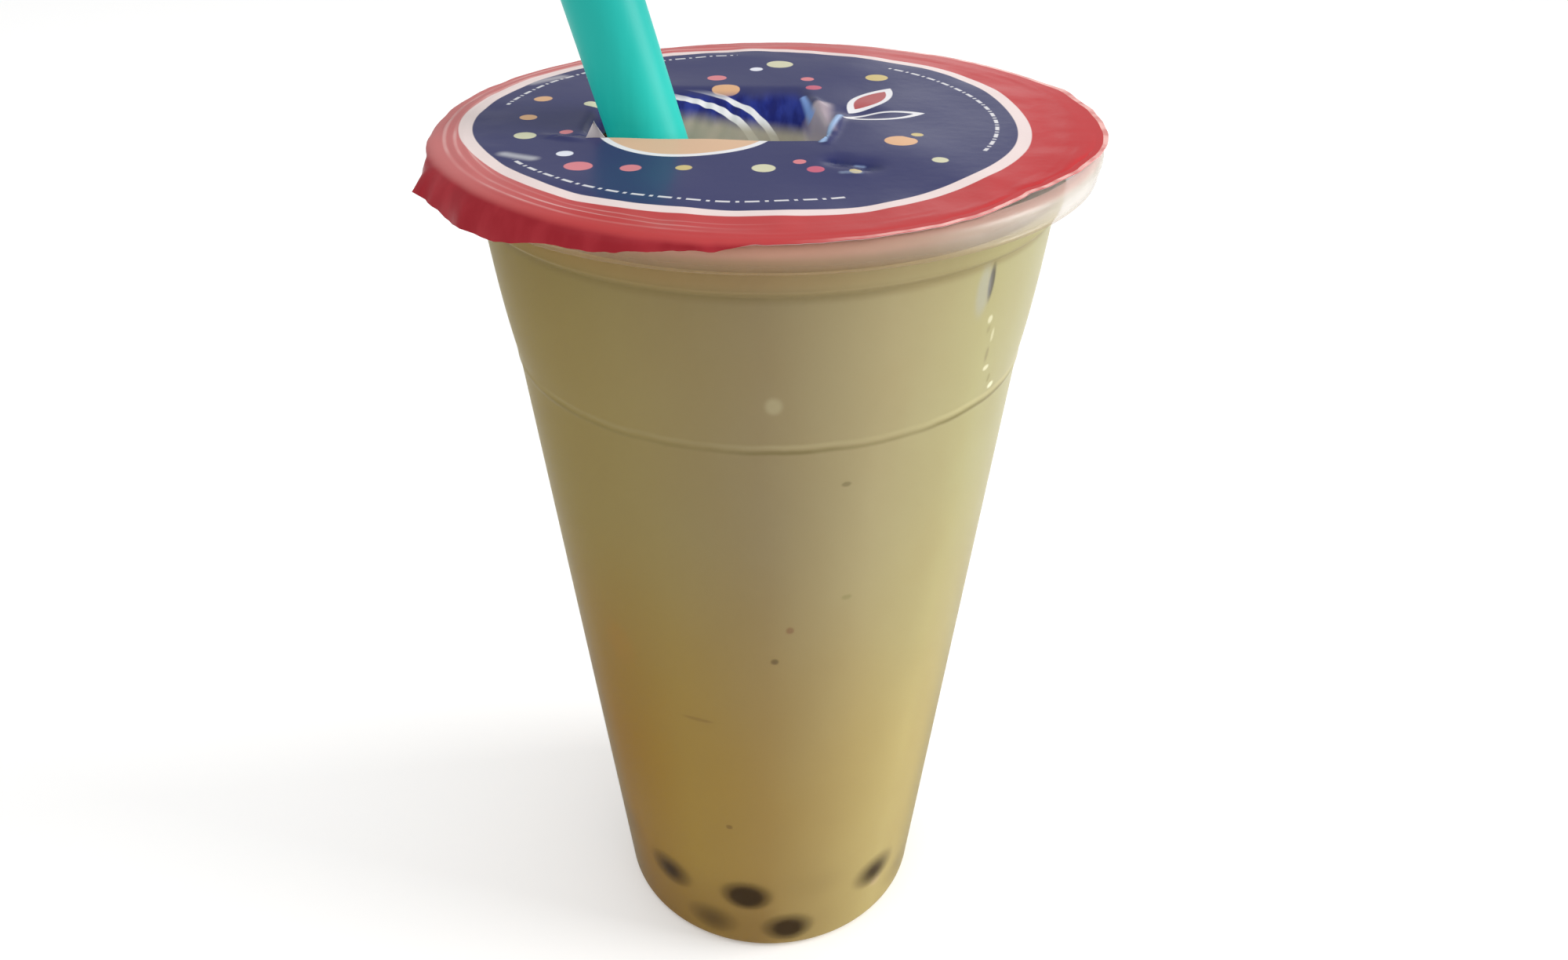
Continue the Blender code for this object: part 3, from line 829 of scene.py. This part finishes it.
def filmLowerFace():
    # Rows of points from the tear's edge straight out to the disc's edge, then down the skirt's curve
    level = cupHeight + film["gap"]
    origins, directions = filmColumns()
    inner = origins + directions * tearReach(origins, directions)[:, None]
    b = (origins * directions).sum(axis=1)
    far = -b + np.sqrt(b * b - (origins ** 2).sum(axis=1) + film["discRadius"] ** 2)
    outer = origins + directions * far[:, None]
    turns = np.arctan2(outer[:, 1], outer[:, 0])
    angles, radii, drops = np.array(film["edge"]).T
    degrees = np.degrees(turns)
    radius = np.interp(degrees, angles, radii, period=360) * mm
    drop = np.interp(degrees, angles, drops, period=360) * mm
    hanging = smoothStep(drop / (1.0 * mm))
    hemX, hemY = 48 * np.cos(turns), 48 * np.sin(turns)
    jag = waves(hemX, hemY, 21, 14, 9.0, 0.7)
    radius += jag * 0.10 * mm * (1 - hanging)
    drop += jag * 0.17 * mm * hanging
    flat = np.minimum(film["discRadius"], radius - film["edgeMargin"])
    outer *= (flat / film["discRadius"])[:, None]
    t = (np.linspace(0, 1, film["discRows"]) ** 1.2)[:, None, None]
    plan = inner + t * (outer - inner)
    x, y = plan[..., 0], plan[..., 1]
    disc = np.stack([x, y, level - flapDrop(x, y) + filmRelief(x, y)], axis=-1)

    shoulder = (flat + radius) / 2 * (1 - hanging) + film["shoulder"] * hanging
    t = np.linspace(0, 1, film["skirtRows"] + 1)[1:, None]
    reach = (1 - t) ** 2 * flat + 2 * t * (1 - t) * shoulder + t * t * radius
    # Folds of the skirt, and the crease beside its loose corner
    fold = waves(hemX, hemY, 43, 10, 14.0, 2.5) * 0.30 * mm * hanging
    crease = np.exp(-((degrees + 147.0 - 4.0 * (1 - t)) / 1.5) ** 2) * 0.35 * mm
    reach = reach + (fold - crease) * t * t
    rows = np.stack([reach * np.cos(turns), reach * np.sin(turns), level - t * t * drop], axis=-1)
    return np.concatenate([disc, rows])


def thicken(lower, thickness):
    # The other face of a sheet: each point moved along the normal, from the differences of its neighbours
    across = np.roll(lower, -1, axis=1) - np.roll(lower, 1, axis=1)
    out = np.gradient(lower, axis=0)
    normal = np.cross(out, across)
    normal /= np.linalg.norm(normal, axis=-1)[..., None]
    return lower + normal * thickness


def makeFilm(material):
    lower = filmLowerFace()
    both = np.concatenate([thicken(lower, film["thickness"]), lower[::-1]])
    # filmSide is 0 on the upper face, -1 along its hem, which takes a painted highlight towards the key
    # light, and 1 on the lower face
    side = np.repeat([0.0, 1.0], len(lower))
    side[len(lower) - film["hemRows"]:len(lower)] = -1
    side = side[:, None] * np.ones(both.shape[1])
    faces = gridFaces(both.shape[0], both.shape[1], loopRows=True, flip=True)
    return putMesh("sealFilm", both.reshape(-1, 3), faces, material, 60, ("filmSide", side))


def makeTornTip(material):
    # A triangle from its foot line to its top, curled back by the square of the height
    start, end, top = np.array(film["tornTip"]) * mm
    up = np.linspace(0, 1, 9)[:, None, None]
    along = np.linspace(0, 1, 9)[None, :, None]
    sheet = (start + along * (end - start)) * (1 - up) + top * up
    sheet[..., 1] += 0.7 * mm * (up * up)[..., 0] + 0.25 * mm * np.sin(np.pi * along)[..., 0]
    sheet[..., 2] += cupHeight + film["gap"]
    back = sheet + (0, film["thickness"], 0)
    loops = np.concatenate([sheet, back[:, ::-1]], axis=1)
    foot = np.stack([sheet[0], back[0]])
    faces = np.concatenate([gridFaces(9, 18), 9 * 18 + gridFaces(2, 9, loopColumns=False, flip=True)])
    points = np.concatenate([loops.reshape(-1, 3), foot.reshape(-1, 3)])
    return putMesh("tornTip", points, faces, material, 60, ("filmSide", np.full(len(points), 0.8)))


# The film's print, in mm from its own centre

artwork = {
    "centre": (-3.2 * mm, 1.1 * mm),
    "fieldRadius": 38.95,
    "ringRadius": 40.85,
    # How the rings waver: waves round the film, height, turn of the crest in degrees
    "waver": ((3, 0.42, -68), (7, 0.25, -70), (1, 0.44, 0), (2, 0.22, 90)),
    "soft": 0.10,               # softness of a printed edge
    "navy": (0.037, 0.040, 0.124, 1),
    "cream": (0.80, 0.66, 0.64, 1),
    "red": (0.49, 0.056, 0.058, 1),
    "redHanging": (0.33, 0.021, 0.030, 1),
    "redFolded": (0.385, 0.030, 0.040, 1),
    "redDeep": (0.50, 0.030, 0.034, 1),
    "deepFrom": (15 * mm, 40 * mm),     # where the red deepens towards the right
    "pink": (0.72, 0.42, 0.40, 1),
    "white": (0.78, 0.76, 0.78, 1),
    "peach": (0.68, 0.44, 0.29, 1),
    "blue": (0.006, 0.011, 0.125, 1),
    "blueLight": (0.018, 0.032, 0.230, 1),
    "underside": (0.55, 0.50, 0.50, 1),
    "hemHighlight": (0.88, 0.50, 0.46, 1),
    "dotPitch": 8.3,
    "dotShift": (0.3, 0.55, 0),
    "dotSizes": (0.8, 2.5),
    "dotReach": 34.2,           # no dot's edge lies further from the centre
    "dotShare": 0.92,           # of the cells that have a dot
    # Circles that hold no dot's centre: round the slice, the flap and the leaves
    "dotGaps": ((-8.0, -5.7, 15.2), (1.5, 6.5, 9.5), (18.5, 8.5, 9.8), (20.5, 1.0, 7.5)),
    # Dots in six tones, each from its share of the draw on
    "dotTones": (
        (0.00, (0.66, 0.21, 0.24)), (0.13, (0.62, 0.60, 0.42)), (0.30, (0.70, 0.40, 0.22)),
        (0.48, (0.76, 0.76, 0.84)), (0.68, (0.55, 0.12, 0.19)), (0.82, (0.60, 0.47, 0.20)),
    ),
    "sliceCentre": (-8.0, -5.7),
    "sliceRadius": 12.8,
    "rind": 1.0,
    "arcsCentre": (-15.8, -4.1),
    "arcs": ((21.6, 20.4), (18.7, 17.3)),
    # Heights in metres between which the film turns to the flap's blue, painted brighter as it catches the
    # light, and below which it is wet
    "flapLevels": (0.1500, 0.1490),
    "wetLevel": 0.1472,
    "wetFrom": -12 * mm,
    "wetFall": 0.07,
    "wet": (0.36, 0.32, 0.23, 1),
    # Painted highlights and painted shade on creases, crumples and dents, and a pale pinkish zone at the
    # tear's right end: two ends, half width, softness, tone, strength
    "creaseGlintsAndShade": (
        ((10.6, 5.9), (10.6, -6.9), 1.7, 1.1, (0.50, 0.40, 0.44), 0.85),
        ((13.6, 0.8), (10.8, -12.4), 0.45, 0.35, (0.36, 0.52, 0.80), 0.95),
        ((8.4, 12.4), (9.6, 5.0), 0.4, 0.35, (0.25, 0.40, 0.80), 0.85),
        ((12.1, -20.3), (17.0, -22.6), 1.3, 0.8, (0.006, 0.012, 0.085), 0.8),
        ((13.0, -24.6), (15.2, -24.6), 0.30, 0.5, (0.35, 0.45, 0.62), 0.4),
        ((15.0, -21.2), (15.8, -21.3), 0.25, 0.4, (0.30, 0.40, 0.62), 0.5),
        ((-34.2, 17.8), (-30.2, 21.6), 0.9, 1.2, (0.55, 0.52, 0.55), 0.6),
        ((-31.4, -18.0), (-27.6, -19.6), 0.7, 0.9, (0.62, 0.61, 0.64), 0.60),
    ),
    # Painted highlights along the ridges pressed round the rim, on the side away from the key light: radius
    # about the cup, half width, strength
    "ridgeGlints": ((42.6, 0.16, 0.50), (44.0, 0.20, 0.65), (45.4, 0.22, 0.60)),
    # Leaves: centre, length, width, degrees, fill
    "leaves": (
        ((18.5, 9.5), 15.0, 5.6, 62, (0.42, 0.085, 0.090, 1)),
        ((20.0, 1.0), 12.5, 4.8, 12, (0.037, 0.040, 0.124, 1)),
    ),
    "borderRadius": 36.0,
    "borderWidth": 0.55,
    "borderBeats": 64,
}


def circleMask(tree, place, centre, radius, soft):
    # 1 inside a circle and 0 outside, from the distance to its centre
    return between(tree, vectorMaths(tree, "DISTANCE", place, (*centre, 0)), radius + soft, radius - soft)


def strokeMask(tree, place, start, end, half, soft):
    # 1 near a straight line, from the distance to its nearest point start + t (end - start), t held in 0..1
    span = (end[0] - start[0], end[1] - start[1], 0)
    length = span[0] ** 2 + span[1] ** 2
    offset = vectorMaths(tree, "SUBTRACT", place, (*start, 0))
    along = vectorMaths(tree, "DOT_PRODUCT", offset, [value / length for value in span])
    t = addNode(tree, "ShaderNodeClamp", {"Value": along}).outputs[0]
    reach = addNode(tree, "ShaderNodeVectorMath", {0: span, "Scale": t}, operation="SCALE").outputs[0]
    away = vectorMaths(tree, "DISTANCE", offset, reach)
    return between(tree, away, half + soft, max(half - soft, 0.0))


def leafMask(tree, place, centre, length, width, degrees, soft):
    # What two equal circles share: a pointed leaf of that length and width, turned by degrees
    half, waist = length / 2, width / 2
    radius = (half * half + waist * waist) / (2 * waist)
    turn = math.radians(degrees + 90)
    offset = radius - waist
    shift = (offset * math.cos(turn), offset * math.sin(turn))
    return product(tree, *(circleMask(tree, place, (centre[0] + s * shift[0], centre[1] + s * shift[1]),
                                      radius, soft) for s in (1, -1)))


def printedDots(tree, place, ground):
    # One dot in most cells of a Voronoi pattern, its size and tone drawn by the cell
    pitch = artwork["dotPitch"]
    small, large = artwork["dotSizes"]
    shift = artwork["dotShift"]
    cells = vectorMaths(tree, "MULTIPLY_ADD", place, (1 / pitch,) * 3, shift)
    dots = addNode(tree, "ShaderNodeTexVoronoi", {"Vector": cells, "Scale": 1.0, "Randomness": 0.95},
                   voronoi_dimensions="2D").outputs
    draw = addNode(tree, "ShaderNodeSeparateColor", {0: dots["Color"]}).outputs
    spread = maths(tree, "POWER", draw[0], 2.2)
    size = maths(tree, "MULTIPLY_ADD", spread, (large - small) / pitch, small / pitch)
    soft = artwork["soft"] / pitch
    mask = between(tree, maths(tree, "SUBTRACT", dots["Distance"], size), soft, -soft)
    reach = maths(tree, "ADD", vectorMaths(tree, "DISTANCE", dots["Position"], shift), size)
    mask = product(tree, mask, maths(tree, "LESS_THAN", reach, artwork["dotReach"] / pitch),
                   maths(tree, "LESS_THAN", draw[1], artwork["dotShare"]))
    for gapX, gapY, radius in artwork["dotGaps"]:
        gap = (gapX / pitch + shift[0], gapY / pitch + shift[1], shift[2])
        away = vectorMaths(tree, "DISTANCE", dots["Position"], gap)
        mask = product(tree, mask, maths(tree, "GREATER_THAN", away, radius / pitch))
    return mixColour(tree, mask, ground, toneRamp(tree, draw[2], artwork["dotTones"], "CONSTANT"))


def printedMotif(tree, place, ground, plain):
    # Half a slice of fruit before the tear, rings on the flap, painted brighter blue where it catches the
    # light and streaked with painted highlights on its crumples, and two leaves
    soft = artwork["soft"]
    centre, radius = artwork["sliceCentre"], artwork["sliceRadius"]
    height = axes(tree, place)["Y"]
    spot = axes(tree, plain)
    crumple = objectNoise(tree, (1.6, 0.35, 1), 330.0)
    pressed = between(tree, spot["Z"], *artwork["flapLevels"])
    # Painted light on the lowered flap, with painted highlight streaks along its crumples
    blue = mixColour(tree, between(tree, crumple, 0.35, 0.65), artwork["blue"], artwork["blueLight"])
    colour = mixColour(tree, pressed, ground, blue)
    arcsCentre = artwork["arcsCentre"]
    above = between(tree, height, arcsCentre[1] - soft, arcsCentre[1] + soft)
    for outer, inner in artwork["arcs"]:
        band = maths(tree, "SUBTRACT", circleMask(tree, place, arcsCentre, outer, soft),
                     circleMask(tree, place, arcsCentre, inner, soft))
        colour = mixColour(tree, product(tree, band, above, pressed), colour, artwork["white"])
    lower = between(tree, height, centre[1] + soft, centre[1] - soft)
    for reach, tone in ((radius, "white"), (radius - artwork["rind"], "peach")):
        field = product(tree, circleMask(tree, place, centre, reach, soft), lower)
        colour = mixColour(tree, field, colour, artwork[tone])
    for leafAt, length, width, degrees, fill in artwork["leaves"]:
        for share, tone in ((1.0, artwork["white"]), (0.72, fill)):
            leaf = leafMask(tree, place, leafAt, length * share, width * (share - 0.08), degrees, soft)
            colour = mixColour(tree, leaf, colour, tone)
    # The flap's wet foot, up to a line that falls towards the right and wavers with the crumples
    line = maths(tree, "MULTIPLY_ADD", maths(tree, "MAXIMUM", spot["X"], artwork["wetFrom"]),
                 -artwork["wetFall"], artwork["wetLevel"])
    line = maths(tree, "MULTIPLY_ADD", maths(tree, "SUBTRACT", crumple, 0.5), 0.4 * mm, line)
    depth = maths(tree, "SUBTRACT", line, spot["Z"])
    colour = mixColour(tree, between(tree, depth, -0.6 * mm, 0.8 * mm, 0.0, 0.9), colour, artwork["wet"])
    # Painted highlights and shade on creases, crumples and dents
    for start, end, half, blur, tone, strength in artwork["creaseGlintsAndShade"]:
        stroke = product(tree, strokeMask(tree, place, start, end, half, blur), strength)
        colour = mixColour(tree, stroke, colour, (*tone, 1))
    return colour


def printedBorder(tree, place, ground, plain):
    # Dashes with a dot between each two along three arcs, then the cream ring and the red edge
    soft = artwork["soft"]
    parts = axes(tree, place)
    turn = maths(tree, "ARCTAN2", parts["Y"], parts["X"])
    beat = maths(tree, "FRACT", product(tree, turn, artwork["borderBeats"] / (2 * math.pi)))
    near = apart(tree, beat, 0.5)
    marks = maths(tree, "MAXIMUM", between(tree, near, 0.27, 0.23), between(tree, near, 0.42, 0.45))
    away = vectorMaths(tree, "LENGTH", place)
    half = artwork["borderWidth"] / 2
    line = between(tree, apart(tree, away, artwork["borderRadius"]), half + soft, half - soft)
    arcs = between(tree, maths(tree, "SINE", maths(tree, "MULTIPLY_ADD", turn, 3.0, 0.9)), -0.45, -0.43)
    colour = mixColour(tree, product(tree, marks, line, arcs, 0.85), ground, artwork["white"])
    for count, size, crest in artwork["waver"]:
        swing = maths(tree, "COSINE", maths(tree, "MULTIPLY_ADD", turn, count, -count * math.radians(crest)))
        away = maths(tree, "MULTIPLY_ADD", swing, -size, away)
    for radius, tone in ((artwork["fieldRadius"], artwork["cream"]),
                         (artwork["ringRadius"], redEdge(tree, plain))):
        colour = mixColour(tree, between(tree, away, radius - soft, radius + soft), colour, tone)
    return colour


def redEdge(tree, plain):
    # Deeper to the right, with a painted pale reflection at the left and the back, darker where it hangs, and
    # painted highlights along the ridges round the cup
    spot = axes(tree, plain)
    facing = towardsKey(tree)
    red = mixColour(tree, between(tree, spot["X"], *artwork["deepFrom"]), artwork["red"], artwork["redDeep"])
    # Painted pale reflection at the left and the back
    paleVeil = maths(tree, "MAXIMUM", between(tree, facing, 0.32, 0.03, 0.0, 0.28),
                 between(tree, spot["Y"], 28 * mm, 46 * mm, 0.0, 0.22))
    red = mixColour(tree, paleVeil, red, artwork["pink"])
    crumple = between(tree, objectNoise(tree, (1, 1, 0.25), 210.0), 0.36, 0.60)
    folded = mixColour(tree, crumple, artwork["redFolded"], artwork["redHanging"])
    hanging = between(tree, spot["Z"], cupHeight + 0.16 * mm, cupHeight - 0.45 * mm)
    red = mixColour(tree, hanging, red, folded)
    fromCup = vectorMaths(tree, "LENGTH", vectorMaths(tree, "MULTIPLY", plain, inPlan))
    # Painted highlights along the ridges, on the side away from the key light
    shaded = between(tree, facing, 0.62, 0.25)
    for radius, half, strength in artwork["ridgeGlints"]:
        patchy = between(tree, objectNoise(tree, (1, 1, 1), 70.0, 2.0, shift=(0, 0, radius)),
                         0.38, 0.62, 0.25, 1.0)
        near = between(tree, apart(tree, fromCup, radius), half * 1.8, half * 0.3)
        red = mixColour(tree, product(tree, near, patchy, shaded, strength), red, artwork["pink"])
    return red


def filmPrint():
    material, tree, shader = newMaterial("filmPrint")
    plain = addNode(tree, "ShaderNodeTexCoord").outputs["Object"]
    centred = vectorMaths(tree, "SUBTRACT", plain, (*artwork["centre"], 0))
    place = vectorMaths(tree, "MULTIPLY", centred, inPlan)
    colour = printedDots(tree, place, artwork["navy"])
    colour = printedMotif(tree, place, colour, plain)
    colour = printedBorder(tree, place, colour, plain)
    side = addNode(tree, "ShaderNodeAttribute", attribute_name="filmSide").outputs["Fac"]
    # Painted highlight along the hem on the side towards the key light
    hemHighlight = product(tree, between(tree, side, 0.0, -1.0), between(tree, towardsKey(tree), 0.55, 0.75),
                  between(tree, noise(tree, plain, 260.0, 2.0), 0.35, 0.6, 0.45, 0.95))
    colour = mixColour(tree, hemHighlight, colour, artwork["hemHighlight"])
    colour = mixColour(tree, between(tree, side, 0.0, 1.0), colour, artwork["underside"])
    setShader(tree, shader, Base_Color=colour, Roughness=0.25, Specular_IOR_Level=0.05)
    addBump(tree, shader, noise(tree, plain, 420.0), 0.0001, 0.3)
    return material


# Room

room = {
    "floorReach": 3.0,
    "floorTone": (0.93, 0.93, 0.925, 1),
    "floorGlow": 0.20,
    "worldStrength": 0.54,
    # Lights: name, place, point aimed at, size, power
    "lights": (
        ("keyRight", (0.85, -0.05, 0.42), (0, 0, 0.09), 0.50, 7.0),
        ("topSoft", (-0.30, -0.10, 2.40), (-0.1, 0.2, 0), 3.00, 27.0),
        ("backPanel", (0.20, 1.20, 0.40), (0.03, 0.03, 0.15), 0.20, 0.13),
    ),
}


def makeRoom():
    material, tree, shader = newMaterial("paleFloor")
    setShader(tree, shader, Base_Color=room["floorTone"], Roughness=0.8, Emission_Color=(1, 1, 1, 1),
              Emission_Strength=room["floorGlow"])
    reach = room["floorReach"]
    corners = [(x * reach, y * reach, 0) for x, y in ((-1, -1), (1, -1), (1, 1), (-1, 1))]
    mesh = bpy.data.meshes.new("floor")
    mesh.from_pydata(corners, [], [(0, 1, 2, 3)])
    mesh.materials.append(material)
    floor = addObject("floor", mesh)

    world = bpy.data.worlds.new("softRoom")
    world.use_nodes = True
    background = world.node_tree.nodes["Background"].inputs
    background["Color"].default_value = (1, 1, 1, 1)
    background["Strength"].default_value = room["worldStrength"]
    bpy.context.scene.world = world
    bpy.context.scene.view_settings.view_transform = "Standard"

    for name, place, target, size, power in room["lights"]:
        data = bpy.data.lights.new(name, "AREA")
        data.size = size
        data.energy = power
        lamp = addObject(name, data)
        lamp.location = place
        way = lamp.location - type(lamp.location)(target)
        lamp.rotation_euler = way.to_track_quat("Z", "Y").to_euler()


# Putting it together

makeRoom()
centres = pearlCentres()
filmSkin = filmPrint()
pieces = (
    (makeCup(cupPlastic(), rimPlastic()), "cup", "cup"),
    (makeTea(teaColour(), centres), "tea", "tea"),
    (makeStraw(strawPlastic()), "straw", "straw"),
    (makeFilm(filmSkin), "film", "film"),
    (makeTornTip(filmSkin), None, "film"),
    (makePearls(pearlSkin(), centres), None, "tea"),
)
for piece, node, slotName in pieces:
    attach(piece, "root")
    if node:
        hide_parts(node)
    print("made", piece.name, len(piece.data.polygons), "faces")
